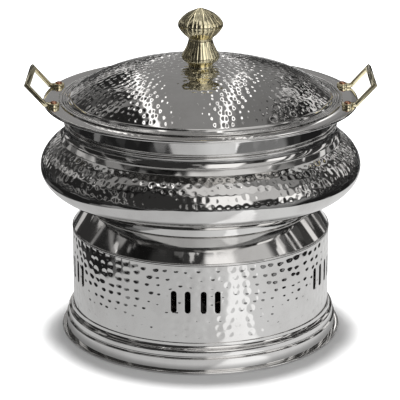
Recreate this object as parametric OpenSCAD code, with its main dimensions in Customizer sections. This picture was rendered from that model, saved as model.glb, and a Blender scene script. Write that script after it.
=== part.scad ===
// Hammered steel soup kettle: lid, food pan, water pan, ventilated stand and fuel burner.
// Millimetres, +Z up, origin on the axis at table level. The handles lie on the X axis.

/* [Stand] */
// Outside radius of the hammered stand wall
stand_r = 149.5; // [148:0.5:151]
// Height of the seam between the wall and the shoulder
seam_z = 123; // [118:1:128]
// Height of the seat that the water pan stands on
seat_z = 150; // [146:1:154]
// Outside radius of the bottom rim
base_r = 163.4; // [162:0.2:166]
// Number of groups of vent slots
vent_groups = 5; // [3:1:6]
// Number of slots in each group
vents_per_group = 4; // [2:1:5]
// Width of one slot
vent_w = 6.6; // [5:0.2:8]
// Height of one slot
vent_h = 26; // [18:1:32]

/* [Water pan] */
// Largest radius of the hammered belly
belly_r = 184.8; // [180:0.2:190]
// Height of the belly's widest ring
belly_z = 198; // [194:1:202]
// Height of the rolled rim's top
rim_z = 250; // [246:1:254]

/* [Food pan] */
// Outside radius of the flange
flange_r = 180; // [178:0.5:182]
// Height of the flange's top face
flange_z = 276.2; // [272:0.2:280]
// Outside radius of the neck above the water pan
neck_r = 154; // [152:0.5:155]
// Outside radius of the wall inside the water pan
well_r = 146; // [140:0.5:148]
// Height of the food pan's underside
well_z = 178; // [172:1:186]

/* [Lid] */
// Outside radius of the lid
lid_r = 162; // [160:0.5:164]
// Radius of the hammered dome
dome_r = 150; // [148:0.5:150.5]
// Rise of the dome above its edge
dome_h = 33.8; // [28:0.2:40]
// Height of the knob
knob_h = 66.6; // [60:0.2:72]

/* [Handles] */
// Distance of each pair of screws from the axis, along X
screw_x = 165; // [163:0.5:166]
// Distance of each screw from the X axis
screw_y = 43; // [40:0.5:45]
// Slope of the handles' legs
handle_tilt = 48; // [40:1:52]

/* [Material] */
// Thickness of the steel sheet
sheet = 1.2; // [1:0.1:1.4]

/* [Hidden] */
$fn = 128;

// Colours
steel = "#c9cbcc";
brass = "#d8c07a";
iron = "#8a8d90";

// Stand
shell_bottom = 24;
base_rim_h = 3.4;
shoulder_top_r = 132.6;
shoulder_corner = 2;
seam_band_h = 3;
shoulder_skirt_h = 5;
bead_w = 1.3;
mouth_r = 108;
lip_depth = 8;
shelf_z = 32.2;
shelf_rim_h = 7.7;
vent_z = 81;
vent_pitch = 6;
vent_gap_extra = 0.8;
vent_turn = -92.1;

// Burner, standing on the shelf inside a low locating ring
locator_r = 48.5;
saucer_r = 54;
saucer_z = 41;
strap_t = 2;
rivet_r = 1.5;
rivet_x = 4;
rivet_y = -52.3;
pot_r = 34;
pot_bottom = shelf_z + sheet;
pot_top = 79.2;
screen_drop = 7.2;
screen_t = 0.8;
pivot_x = -46;
pin_r = 2;
cover_r = 38.5;
cover_z = 81;
cover_top = 89;
arm_z = 82;
arm_t = 3;
bracket_z = 71;
bracket_t = 5;
strap_end = 104;

// Water pan
foot_r = 129.5;
bowl_bottom = 163.5;
bowl_w = belly_r - foot_r - 1.5;
rim_wire_r = 2.2;
rim_wire_x = neck_r + 0.4;
rim_wire_z = rim_z - rim_wire_r * sin(75);
neck_top = rim_z - 2 * rim_wire_r * sin(75);

// Food pan
roll_r = 1.8;
well_corner = 15;
neck_corner = 3;

// Handles
tab_r = 6.5;
tab_t = 4;
tab_reach = 11.3;
bar_t = 4.5;
leg_w = 6;
leg_inset = 1.2;
grip_w = 6;
leg_len = 32.6;
screw_r = 2.5;

// Lid and knob
band_top = flange_z + sheet;
dome_edge_z = band_top + 2.2;
dome_power = 3.4;
seat_r = 15;
apex_z = dome_edge_z + dome_h;
stud_r = 3;
skirt_r = 152;
skirt_t = 1;

// Points on an ellipse, from angle t0 to angle t1
function ellipse_arc(cx, cz, a, b, t0, t1, n) =
    [for (i = [0:n]) let (t = t0 + (t1 - t0) * i / n) [cx + a * cos(t), cz + b * sin(t)]];

// Twelve-sided bead section with a flat at the top and at the bottom
function bead(cx, cz, r) = [for (i = [0:11]) [cx + r * cos(15 + 30 * i), cz + r * sin(15 + 30 * i)]];

// The sheet lies to the right of its path, so the path runs down the outside of a shell
function right_of(a, b) = let (d = (b - a) / norm(b - a)) [d[1], -d[0]];
function mitre(m, n) = (m + n) / (1 + m * n);
function side(p, i) =
    i == 0 ? right_of(p[0], p[1]) :
    i == len(p) - 1 ? right_of(p[i - 1], p[i]) :
    mitre(right_of(p[i - 1], p[i]), right_of(p[i], p[i + 1]));
function sheet_outline(p, t) = concat(p, [for (i = [len(p) - 1:-1:0]) p[i] + t * side(p, i)]);

module revolve(outline) {
    rotate_extrude() polygon(outline);
}

module spun(path, t = sheet) {
    revolve(sheet_outline(path, t));
}

// Copies at the four screws that hold the handles
module at_screws() {
    for (x = [-screw_x, screw_x], y = [-screw_y, screw_y]) translate([x, y, 0]) children();
}

// ---- Stand

module vent_slot() {
    half = vent_h / 2 - vent_w / 2;
    rotate([0, 90, 0]) linear_extrude(height = 12, center = true) {
        square([2 * half, vent_w], center = true);
        for (s = [-half, half]) translate([s, 0]) circle(d = vent_w);
    }
}

module stand_shell() {
    middle = (vents_per_group - 1) / 2;
    color(steel) difference() {
        translate([0, 0, shell_bottom]) cylinder(r = stand_r, h = seam_z - shell_bottom);
        translate([0, 0, shell_bottom - 1]) cylinder(r = stand_r - sheet, h = seam_z);
        for (g = [0:vent_groups - 1], i = [0:vents_per_group - 1]) {
            offset_turn = (i - middle) * vent_pitch + sign(i - middle) * vent_gap_extra / 2;
            rotate([0, 0, vent_turn + g * 360 / vent_groups + offset_turn])
                translate([stand_r, 0, vent_z]) vent_slot();
        }
    }
}

// Sloping cap whose skirt fits inside the top of the wall
module stand_shoulder() {
    fit_r = stand_r - sheet;
    corner_r = shoulder_top_r - shoulder_corner;
    path = concat(
        [[mouth_r, seat_z - lip_depth], [mouth_r, seat_z]],
        ellipse_arc(corner_r, seat_z - shoulder_corner, shoulder_corner, shoulder_corner, 90, 36, 4),
        [[fit_r, seam_z + seam_band_h], [fit_r, seam_z - shoulder_skirt_h]]
    );
    color(steel) spun(path);
}

// Ring that covers the joint between the cap and the wall
module stand_bead() {
    half = seam_band_h / 2;
    color(steel) revolve(ellipse_arc(stand_r - sheet, seam_z + half, bead_w, half, -90, 90, 10));
}

// Collar around the wall, a cove, a sloping band, a groove and the tall face
module base_moulding() {
    collar_r = stand_r + sheet;
    path = concat(
        [[collar_r, 33]],
        ellipse_arc(collar_r + 2.6, 31.5, 2.6, 4.8, 180, 255, 6),
        ellipse_arc(153.4, 23.4, 2.2, 3.1, 66, 25, 4),
        [[155.9, 19.4], [155.2, 18.4], [155.2, 17.4], [157.6, 16.4], [158.6, base_rim_h + 1], [158.6, base_rim_h]]
    );
    color(steel) spun(path);
}

module base_rim() {
    half = base_rim_h / 2;
    section = concat(
        [[157.4, base_rim_h], [157.4, 0]],
        ellipse_arc(base_r - half, half, half, half, -90, 90, 12)
    );
    color(steel) revolve(section);
}

module burner_shelf() {
    r = stand_r - sheet;
    color(steel) spun([[0, shelf_z], [r - 3, shelf_z], [r, shelf_z - 2], [r, shelf_z - shelf_rim_h]]);
}

module burner_locator() {
    color(steel) translate([0, 0, shelf_z])
        revolve([[locator_r, 0], [locator_r, 2.6], [locator_r + 1, 3.6], [locator_r + 3.5, 0]]);
}

// ---- Burner

module burner_saucer() {
    path = [[saucer_r, saucer_z], [50.5, saucer_z], [46.5, 34.5], [42, shelf_z], [0, shelf_z]];
    color(steel) difference() {
        spun(path);
        at_rivets() cylinder(r = rivet_r, h = 60);
    }
}

// Copies at the two rivets that hold the strap to the saucer
module at_rivets() {
    for (x = [-rivet_x, rivet_x]) translate([x, rivet_y, 0]) children();
}

module burner_handle() {
    half = 7;
    eye_y = half - strap_end;
    color(iron) difference() {
        translate([0, 0, saucer_z + sheet]) linear_extrude(height = strap_t) difference() {
            union() {
                translate([-half, eye_y]) square([2 * half, -50.6 - eye_y]);
                translate([0, eye_y]) circle(r = half);
            }
            translate([0, eye_y]) circle(r = 3);
        }
        at_rivets() cylinder(r = rivet_r, h = 60);
    }
}

module handle_rivets() {
    head_h = 1;
    strap_top = saucer_z + sheet + strap_t;
    color(iron) at_rivets() {
        translate([0, 0, saucer_z]) cylinder(r = rivet_r, h = strap_top - saucer_z);
        translate([0, 0, strap_top]) cylinder(r1 = 2.6, r2 = 1.6, h = head_h);
        translate([0, 0, saucer_z - head_h]) cylinder(r = 1.7, h = head_h);
    }
}

module fuel_pot() {
    path = concat(
        [[pot_r + 3, pot_top - sheet], [pot_r, pot_top - sheet]],
        ellipse_arc(pot_r - 3, pot_bottom + 3, 3, 3, 0, -90, 4),
        [[0, pot_bottom]]
    );
    color(steel) spun(path);
}

module wick_screen() {
    wall_r = pot_r - sheet - 0.5;
    floor_z = pot_top - screen_drop;
    color(iron) difference() {
        spun([[pot_r + 2, pot_top], [wall_r, pot_top], [wall_r, floor_z], [0, floor_z]], screen_t);
        for (ring = [1:4], i = [0:6 * ring - 1])
            rotate([0, 0, i * 60 / ring]) translate([6.6 * ring, 0, floor_z - 1]) cylinder(r = 1.3, h = 3);
    }
}

module snuffer_bracket() {
    color(steel) difference() {
        translate([0, 0, bracket_z]) linear_extrude(height = bracket_t) difference() {
            union() {
                translate([pivot_x, 0]) circle(r = 5);
                translate([pivot_x, -5]) square([16, 10]);
            }
            circle(r = pot_r);
        }
        translate([pivot_x, 0, bracket_z - 1]) cylinder(r = pin_r, h = bracket_t + 2);
    }
}

module snuffer_pin() {
    collar_z = bracket_z + bracket_t;
    color(iron) translate([pivot_x, 0, 0]) {
        translate([0, 0, bracket_z]) cylinder(r = pin_r, h = arm_z + arm_t + 1 - bracket_z);
        translate([0, 0, collar_z]) cylinder(r = 3.4, h = arm_z - collar_z);
        translate([0, 0, arm_z + arm_t + 0.2]) cylinder(r = 3.6, h = 2);
    }
}

module snuffer_cover() {
    path = [[0, cover_top], [6, cover_top], [22, 88.2], [34, 86.2], [cover_r, 84.4], [cover_r, cover_z]];
    color(steel) difference() {
        union() {
            spun(path, 1);
            translate([0, 0, arm_z]) linear_extrude(height = arm_t) difference() {
                union() {
                    translate([pivot_x, 0]) circle(r = 5);
                    translate([pivot_x, -5]) square([12, 10]);
                }
                circle(r = cover_r - 1);
            }
        }
        translate([pivot_x, 0, arm_z - 1]) cylinder(r = pin_r + 0.08, h = arm_t + 2);
    }
}

module snuffer_knob() {
    section = concat([[0, 0], [4, 0], [2.8, 3]], ellipse_arc(0, 6.4, 5.2, 3.6, -50, 90, 8));
    color(brass) translate([0, 0, cover_top]) revolve(section);
}

// ---- Water pan

module water_pan() {
    cove_w = 6.8;
    path = concat(
        ellipse_arc(neck_r + 0.2 + cove_w, neck_top, cove_w, 10.3, 180, 250, 8),
        ellipse_arc(49, belly_z, belly_r - 49, 58, 35, 0, 16),
        ellipse_arc(belly_r - bowl_w, belly_z, bowl_w, belly_z - bowl_bottom, -6, -90, 16),
        [[foot_r - 3, bowl_bottom], [100, 161], [60, 159], [0, 159]]
    );
    color(steel) spun(path);
}

module water_pan_rim() {
    color(steel) revolve(bead(rim_wire_x, rim_wire_z, rim_wire_r));
}

module water_pan_foot() {
    color(steel) spun([[foot_r, bowl_bottom], [foot_r, seat_z], [foot_r - 7, seat_z]]);
}

// ---- Food pan and its handles

module food_pan() {
    under = flange_z - sheet;
    path = concat(
        [[flange_r - roll_r - 0.6, under]],
        ellipse_arc(neck_r + neck_corner, under - neck_corner, neck_corner, neck_corner, 90, 180, 5),
        [[neck_r, rim_z + 3.2]],
        ellipse_arc(neck_r, rim_z + 1.8, 1.3, 1.4, 75, -75, 6),
        [[neck_r, rim_z], [well_r, rim_z]],
        ellipse_arc(well_r - well_corner, well_z + well_corner, well_corner, well_corner, 0, -90, 8),
        [[0, well_z]]
    );
    color(steel) difference() {
        union() {
            spun(path);
            revolve(bead(flange_r - roll_r, flange_z - roll_r * sin(75), roll_r));
        }
        at_screws() translate([0, 0, under - 5]) cylinder(r = screw_r, h = 10);
    }
}

// One cast strap handle on the +X side
module handle() {
    color(brass) difference() {
        union() {
            for (y = [-screw_y, screw_y]) translate([screw_x, y, flange_z]) tab(-leg_inset * sign(y));
            translate([screw_x + tab_reach, 0, flange_z]) rotate([0, -handle_tilt, 0]) grip();
        }
        // Level underside, so that the legs start flush with the tabs
        translate([screw_x - 20, -100, flange_z - 20]) cube([60, 200, 20]);
    }
}

// A round tab with a neck that reaches out to its leg, whose middle is at y = leg_y
module tab(leg_y) {
    linear_extrude(height = tab_t) {
        circle(r = tab_r);
        translate([0, leg_y - leg_w / 2]) square([tab_reach, leg_w]);
    }
}

// The square-cornered U of the handle, in its own sloping plane
module grip() {
    half = screw_y - leg_inset + leg_w / 2;
    linear_extrude(height = bar_t) difference() {
        translate([0, -half]) square([leg_len, 2 * half]);
        translate([-1, -half + leg_w]) square([leg_len + 1 - grip_w, 2 * (half - leg_w)]);
    }
}

module drilled_handle() {
    difference() {
        handle();
        for (y = [-screw_y, screw_y]) translate([screw_x, y, flange_z - 1]) cylinder(r = screw_r, h = 8);
    }
}

module handle_right() {
    drilled_handle();
}

module handle_left() {
    mirror([1, 0, 0]) drilled_handle();
}

module handle_screws() {
    head_z = flange_z + tab_t;
    head = concat([[0, head_z]], ellipse_arc(0, head_z, 4, 2.4, 0, 90, 6));
    color(brass) at_screws() {
        translate([0, 0, flange_z - 8]) cylinder(r = screw_r, h = 8 + tab_t);
        revolve(head);
    }
}

module handle_washers() {
    color(iron) at_screws() translate([0, 0, flange_z - sheet - 1]) difference() {
        cylinder(r = 5, h = 1);
        translate([0, 0, -1]) cylinder(r = screw_r, h = 3);
    }
}

module handle_nuts() {
    color(iron) at_screws() translate([0, 0, flange_z - sheet - 5]) difference() {
        cylinder(r = 4.6, h = 4, $fn = 6);
        translate([0, 0, -1]) cylinder(r = screw_r, h = 6);
    }
}

// ---- Lid

function dome_z(r) = dome_edge_z + dome_h * (1 - pow(r / dome_r, dome_power));

module lid_shell() {
    steps = 24;
    path = concat(
        [[stud_r + 0.2, apex_z], [seat_r, apex_z]],
        [for (i = [1:steps]) let (r = seat_r + (dome_r - seat_r) * i / steps) [r, dome_z(r)]],
        [[dome_r + 0.6, band_top + 0.3], [dome_r + 1.4, band_top], [lid_r, band_top]]
    );
    color(steel) spun(path);
}

module lid_skirt() {
    color(steel) difference() {
        translate([0, 0, flange_z - 7]) cylinder(r = skirt_r, h = 7);
        translate([0, 0, flange_z - 8]) cylinder(r = skirt_r - skirt_t, h = 9);
    }
}

// Onion knob: a bulb with a pointed top, a waist and a smaller bulb above the foot
module lid_knob() {
    waist = knob_h * 0.46;
    section = concat(
        [[0, 0], [14, 0]],
        ellipse_arc(15.6, 9.5, 6, 9.5, -60, 0, 6),
        [for (i = [1:8]) let (t = i / 8) [13.8 + 7.8 * (1 + cos(180 * t)) / 2, 9.5 + (waist - 9.5) * t]],
        ellipse_arc(13.8, knob_h * 0.71, 12, knob_h * 0.25, -70, 0, 6),
        [for (i = [1:9]) let (t = i / 10) [25.8 * pow(cos(90 * t), 0.75), knob_h * (0.71 + 0.26 * t)]],
        [[0, knob_h]]
    );
    color(brass) translate([0, 0, apex_z]) difference() {
        revolve(section);
        translate([0, 0, -1]) cylinder(r = stud_r, h = 21);
    }
}

module knob_stud() {
    color(iron) translate([0, 0, apex_z - 9]) cylinder(r = stud_r, h = 29);
}

module knob_washer() {
    color(iron) translate([0, 0, apex_z - sheet - 1.2]) difference() {
        cylinder(r = 8, h = 1.2);
        translate([0, 0, -1]) cylinder(r = stud_r, h = 4);
    }
}

module knob_nut() {
    color(iron) translate([0, 0, apex_z - sheet - 6.2]) difference() {
        cylinder(r = 5.8, h = 5, $fn = 6);
        translate([0, 0, -1]) cylinder(r = stud_r, h = 7);
    }
}

stand_shell();
stand_shoulder();
stand_bead();
base_moulding();
base_rim();
burner_shelf();
burner_locator();
burner_saucer();
burner_handle();
handle_rivets();
fuel_pot();
wick_screen();
snuffer_bracket();
snuffer_pin();
snuffer_cover();
snuffer_knob();
water_pan();
water_pan_rim();
water_pan_foot();
food_pan();
handle_left();
handle_right();
handle_screws();
handle_washers();
handle_nuts();
lid_shell();
lid_skirt();
lid_knob();
knob_stud();
knob_washer();
knob_nut();
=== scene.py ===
import math

import bpy
import numpy as np
from mathutils import Matrix, Vector


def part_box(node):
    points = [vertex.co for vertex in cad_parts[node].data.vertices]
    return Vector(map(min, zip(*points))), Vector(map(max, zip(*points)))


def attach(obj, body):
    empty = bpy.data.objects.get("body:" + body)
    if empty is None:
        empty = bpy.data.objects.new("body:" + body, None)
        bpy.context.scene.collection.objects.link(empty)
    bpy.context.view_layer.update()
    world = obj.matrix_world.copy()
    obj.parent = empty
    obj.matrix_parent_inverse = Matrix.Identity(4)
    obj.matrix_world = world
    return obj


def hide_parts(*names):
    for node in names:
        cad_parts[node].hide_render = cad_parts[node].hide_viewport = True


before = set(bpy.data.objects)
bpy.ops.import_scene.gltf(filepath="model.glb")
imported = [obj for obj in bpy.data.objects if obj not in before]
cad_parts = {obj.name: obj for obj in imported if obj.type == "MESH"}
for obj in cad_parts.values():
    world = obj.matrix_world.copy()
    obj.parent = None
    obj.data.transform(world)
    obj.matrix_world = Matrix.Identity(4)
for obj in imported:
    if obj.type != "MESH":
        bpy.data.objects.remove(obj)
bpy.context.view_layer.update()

# All shapes below are worked out in millimetres and put into Blender in metres.
MM = 0.001


def span(node):
    """Outer radius, bottom and top of a node that is round about the kettle's axis."""
    low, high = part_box(node)
    return max(high[0], high[1]) / MM, low[2] / MM, high[2] / MM


# Driving sizes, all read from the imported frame
WALL_R, WALL_LOW, WALL_TOP = span("stand_shell")
SEAT_Z = span("stand_shoulder")[2]
BASE_R, _, BASE_RIM_TOP = span("base_rim")
BAND_R, _, MOULDING_TOP = span("base_moulding")
BELLY_R, PAN_LOW, COVE_TOP = span("water_pan")
FOOT_R, _, FOOT_TOP = span("water_pan_foot")
WIRE_R, WIRE_LOW, WIRE_TOP = span("water_pan_rim")
FLANGE_R, WELL_Z, FLANGE_Z = span("food_pan")
LID_R, _, APEX_Z = span("lid_shell")
KNOB_R, KNOB_LOW, KNOB_TOP = span("lid_knob")
SHELF_R, _, SHELF_Z = span("burner_shelf")

SHEET = 1.2
WALL_IN = WALL_R - SHEET
NECK_R = 154.0
BELLY_Z = 198.0
DOME_R = 150.0

ON_AXIS = 1e-6              # radii below this count as points on the axis
SMOOTH_ANGLE = 40           # degrees; edges sharper than this stay sharp
FINE_PITCH = 1.15           # between the rings of a hammered stretch


# ---------------------------------------------------------------- outlines

def arc(centre_r, centre_z, a, b, start, end, steps):
    """Points on an ellipse, from angle start to angle end in degrees."""
    angles = np.radians(np.linspace(start, end, steps + 1))
    return [(centre_r + a * math.cos(t), centre_z + b * math.sin(t)) for t in angles]


def unit(vector):
    return vector / max(np.linalg.norm(vector), 1e-9)


def rounded(points, radius, closed=True):
    """The outline with each of its corners rounded off; gentle bends are left alone."""
    steps, gentle, longest_share = 4, 0.94, 0.45
    points = [np.array(p, float) for p in points]
    result = []
    for i, corner in enumerate(points):
        if not closed and i in (0, len(points) - 1):
            result.append(tuple(corner))
            continue
        before = points[i - 1] - corner
        after = points[(i + 1) % len(points)] - corner
        straightness = -float(np.dot(unit(before), unit(after)))
        if straightness > gentle:
            result.append(tuple(corner))
            continue
        half_angle = 0.5 * math.acos(max(-1.0, min(1.0, -straightness)))
        longest = longest_share * min(np.linalg.norm(before), np.linalg.norm(after))
        back = min(radius / math.tan(half_angle), longest)
        start = corner + back * unit(before)
        end = corner + back * unit(after)
        for k in range(steps + 1):
            t = k / steps
            result.append(tuple((1 - t) ** 2 * start + 2 * t * (1 - t) * corner + t * t * end))
    return result


def offset_path(path, distance):
    """The path moved sideways to its right by the distance, with mitred corners."""
    points = [np.array(p, float) for p in path]
    moved = []
    for i, point in enumerate(points):
        sides = []
        for a, b in ((i - 1, i), (i, i + 1)):
            if 0 <= a and b < len(points):
                along = unit(points[b] - points[a])
                sides.append(np.array([along[1], -along[0]]))
        both = sides[0] + sides[-1]
        moved.append(tuple(point + distance * both / (1 + float(np.dot(sides[0], sides[-1])))))
    return moved


def distances(path):
    """How far along a path each of its points is."""
    return np.r_[0, np.cumsum(np.hypot(*np.diff(path, axis=0).T))]


def resampled(path, pitch):
    """Points spaced evenly along a path."""
    points = np.array(path, float)
    lengths = distances(points)
    marks = np.linspace(0, lengths[-1], max(2, round(lengths[-1] / pitch) + 1))
    return np.stack([np.interp(marks, lengths, column) for column in points.T], axis=1)


# ---------------------------------------------------------------- meshes

def new_object(name, data):
    """An object in the scene."""
    thing = bpy.data.objects.new(name, data)
    bpy.context.scene.collection.objects.link(thing)
    return thing


def new_piece(name, vertices, faces, smooth_angle=SMOOTH_ANGLE):
    """A mesh object from points in millimetres, smooth except across sharp edges."""
    mesh = bpy.data.meshes.new(name)
    mesh.from_pydata((np.asarray(vertices, float) * MM).tolist(), [], faces)
    mesh.update()
    mesh.shade_smooth()
    mesh.set_sharp_from_angle(angle=math.radians(smooth_angle))
    return new_object(name, mesh)


def ring_grid(rings, closed):
    """Points and faces of a surface through rings of points.

    A ring of one point is a pole on the axis. Neighbouring rings have the same number of
    points, or one has twice as many as the other.
    """
    starts = np.cumsum([0] + [len(r) for r in rings])
    faces = []
    pairs = [(i, i + 1) for i in range(len(rings) - 1)]
    if closed:
        pairs.append((len(rings) - 1, 0))
    for i, j in pairs:
        a, b = int(starts[i]), int(starts[j])
        n, m = len(rings[i]), len(rings[j])
        if n == 1:
            faces += [(a, b + k, b + (k + 1) % m) for k in range(m)]
        elif m == 1:
            faces += [(a + (k + 1) % n, a + k, b) for k in range(n)]
        elif n == m:
            faces += [(a + k, b + k, b + (k + 1) % m, a + (k + 1) % n) for k in range(n)]
        elif n == 2 * m:
            for k in range(m):
                left, middle, right = a + 2 * k, a + 2 * k + 1, a + (2 * k + 2) % n
                here, there = b + k, b + (k + 1) % m
                faces += [(left, here, middle), (middle, here, there), (middle, there, right)]
        else:
            for k in range(n):
                left, middle, right = b + 2 * k, b + 2 * k + 1, b + (2 * k + 2) % m
                here, there = a + k, a + (k + 1) % n
                faces += [(left, middle, here), (middle, there, here), (middle, right, there)]
    return np.concatenate(rings), faces


def even_angles(count):
    """Directions spaced evenly around the axis."""
    return 2 * math.pi * np.arange(count) / count


def ring_points(radii, angles, heights):
    """A point about the axis for each angle."""
    return np.stack([radii * np.cos(angles), radii * np.sin(angles), heights], axis=1)


def ring(r, z, count):
    """A level ring of points about the axis, or one point where the radius is nothing."""
    if r < ON_AXIS:
        return np.array([[0.0, 0.0, z]])
    return ring_points(r, even_angles(count), np.full(count, z))


def turned_over(outline):
    """Whether the outline runs anticlockwise, with the axis at its left."""
    r, z = np.array(outline, float).T
    return float(np.dot(r, np.roll(z, -1)) - np.dot(z, np.roll(r, -1))) > 0


def lathe(name, outline, count):
    """A solid turned about the axis. An outline that begins and ends on the axis is open there."""
    if turned_over(outline):
        outline = outline[::-1]
    on_axis = [p[0] < ON_AXIS for p in outline]
    while any(on_axis) and not (on_axis[0] and on_axis[-1]):
        outline = outline[1:] + outline[:1]
        on_axis = on_axis[1:] + on_axis[:1]
    rings = [ring(r, z, count) for r, z in outline]
    return new_piece(name, *ring_grid(rings, closed=not any(on_axis)))


def joined(name, pieces):
    """One object made of several, with the first one's sharp edges and smoothing kept."""
    bpy.ops.object.select_all(action="DESELECT")
    for piece in pieces:
        piece.select_set(True)
    bpy.context.view_layer.objects.active = pieces[0]
    bpy.ops.object.join()
    pieces[0].name = name
    pieces[0].data.name = name
    return pieces[0]


def applied(piece):
    """The piece with its modifiers applied to its mesh."""
    depsgraph = bpy.context.evaluated_depsgraph_get()
    depsgraph.update()
    mesh = bpy.data.meshes.new_from_object(piece.evaluated_get(depsgraph))
    old = piece.data
    piece.modifiers.clear()
    piece.data = mesh
    bpy.data.meshes.remove(old)
    mesh.name = piece.name
    return piece


def cut(piece, cutter, operation="DIFFERENCE", solver="EXACT"):
    """The piece with the cutter's shape taken away, joined on or kept in common."""
    modifier = piece.modifiers.new("cut", "BOOLEAN")
    modifier.operation = operation
    modifier.solver = solver
    modifier.object = cutter
    applied(piece)
    bpy.data.objects.remove(cutter)
    return piece


def softened(piece, width):
    """The piece with its sharp edges rounded."""
    modifier = piece.modifiers.new("soften", "BEVEL")
    modifier.width = width * MM
    modifier.segments = 3
    modifier.limit_method = "ANGLE"
    modifier.angle_limit = math.radians(30)
    applied(piece)
    piece.data.shade_smooth()
    piece.data.set_sharp_from_angle(angle=math.radians(SMOOTH_ANGLE))
    return piece


def prism(name, outline, bottom, top):
    """A straight extrusion of a level outline."""
    n = len(outline)
    vertices = [(x, y, bottom) for x, y in outline] + [(x, y, top) for x, y in outline]
    faces = [tuple(range(n))[::-1], tuple(range(n, 2 * n))]
    faces += [(k, (k + 1) % n, n + (k + 1) % n, n + k) for k in range(n)]
    return new_piece(name, vertices, faces)


def place(piece, matrix):
    """Moves a piece's points by a matrix in millimetres."""
    matrix = matrix.copy()
    matrix.translation *= MM
    piece.data.transform(matrix)
    piece.data.update()
    return piece


# ---------------------------------------------------------------- hammering

# How far dents stray, in shares of the pitch, and how much they vary in size and depth
ROW_STRAY, PITCH_STRAY = 0.11, 0.13
SIZE_RANGE, DEPTH_RANGE = (0.86, 1.12), (0.75, 1.2)
DENT_POWER = 1.25

# Waves around the sheet, and their lengths along it
WAVES_AROUND = (5, 9, 14, 23, 31)
WAVE_LENGTHS = (35, 90)


def hammer_rows(stretch, row_pitch, pitch, size, depth, seed, ends):
    """Dents in rows along a stretch of outline: (distance along it, angle, radius, depth) each.

    The first and last rows are away from the stretch's ends by the row pitch times `ends`.
    """
    rng = np.random.default_rng(seed)
    lengths = distances(stretch)
    first = ends[0] * row_pitch
    last = lengths[-1] - ends[1] * row_pitch
    rows = max(2, round((last - first) / row_pitch) + 1)
    dents = []
    for along in np.linspace(first, last, rows):
        radius = np.interp(along, lengths, stretch[:, 0])
        count = max(3, round(2 * math.pi * radius / pitch))
        turn = rng.uniform(0, 2 * math.pi)
        for k in range(count):
            dents.append((
                along + rng.normal(0, ROW_STRAY) * row_pitch,
                turn + 2 * math.pi * (k + rng.normal(0, PITCH_STRAY)) / count,
                size * rng.uniform(*SIZE_RANGE),
                depth * rng.uniform(*DEPTH_RANGE),
            ))
    return dents


def dent_depths(stretch, count, dents):
    """How deep each point of a grid of rings is pressed in by the dents."""
    lengths = distances(stretch)
    depths = np.zeros((len(stretch), count))
    step = 2 * math.pi / count
    for along, angle, size, depth in dents:
        first, last = np.searchsorted(lengths, (along - size, along + size))
        if first >= last:
            continue
        radius = max(np.interp(along, lengths, stretch[:, 0]), size)
        half = min(count // 2 - 1, int(size / radius / step) + 2)
        columns = round(angle / step) + np.arange(-half, half + 1)
        across = (columns * step - angle)[None, :] * stretch[first:last, 0][:, None]
        distance = np.hypot(across, (lengths[first:last] - along)[:, None])
        pressed = depth * np.clip(1 - (distance / size) ** 2, 0, None) ** DENT_POWER
        block = np.ix_(range(first, last), columns % count)
        depths[block] = np.maximum(depths[block], pressed)
    return depths


def waves(stretch, count, height, seed):
    """The slight unevenness of hand-worked sheet, as a grid of heights."""
    rng = np.random.default_rng(seed)
    lengths = distances(stretch)
    angles = even_angles(count)
    heights = np.zeros((len(stretch), count))
    for around in WAVES_AROUND:
        wavelength = rng.uniform(*WAVE_LENGTHS)
        phase = rng.uniform(0, 2 * math.pi, 2)
        drift = np.cos(2 * math.pi * lengths / wavelength + phase[1])[:, None]
        heights += drift * np.cos(around * angles + phase[0])[None, :] / math.sqrt(around)
    return height * heights


def outward(stretch):
    """Directions that point out of a stretch of outline that runs down the outside."""
    along = np.gradient(stretch, axis=0)
    along /= np.linalg.norm(along, axis=1, keepdims=True)
    return np.stack([-along[:, 1], along[:, 0]], axis=1)


def pressed_rings(stretch, count, depths):
    """Rings of points along a stretch, pushed in by a grid of depths."""
    angles = even_angles(count)
    rings = []
    for (r, z), (normal_r, normal_z), row in zip(stretch, outward(stretch), depths):
        rings.append(ring_points(r - normal_r * row, angles, z - normal_z * row))
    return rings


def eased(depths, rows):
    """The grid of depths, faded out over its first and last rows."""
    fade = np.ones(len(depths))
    ramp = np.linspace(0, 1, rows + 1)[:-1]
    fade[:rows] = ramp
    fade[-rows:] = ramp[::-1]
    return depths * fade[:, None]


# ---------------------------------------------------------------- materials

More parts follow.
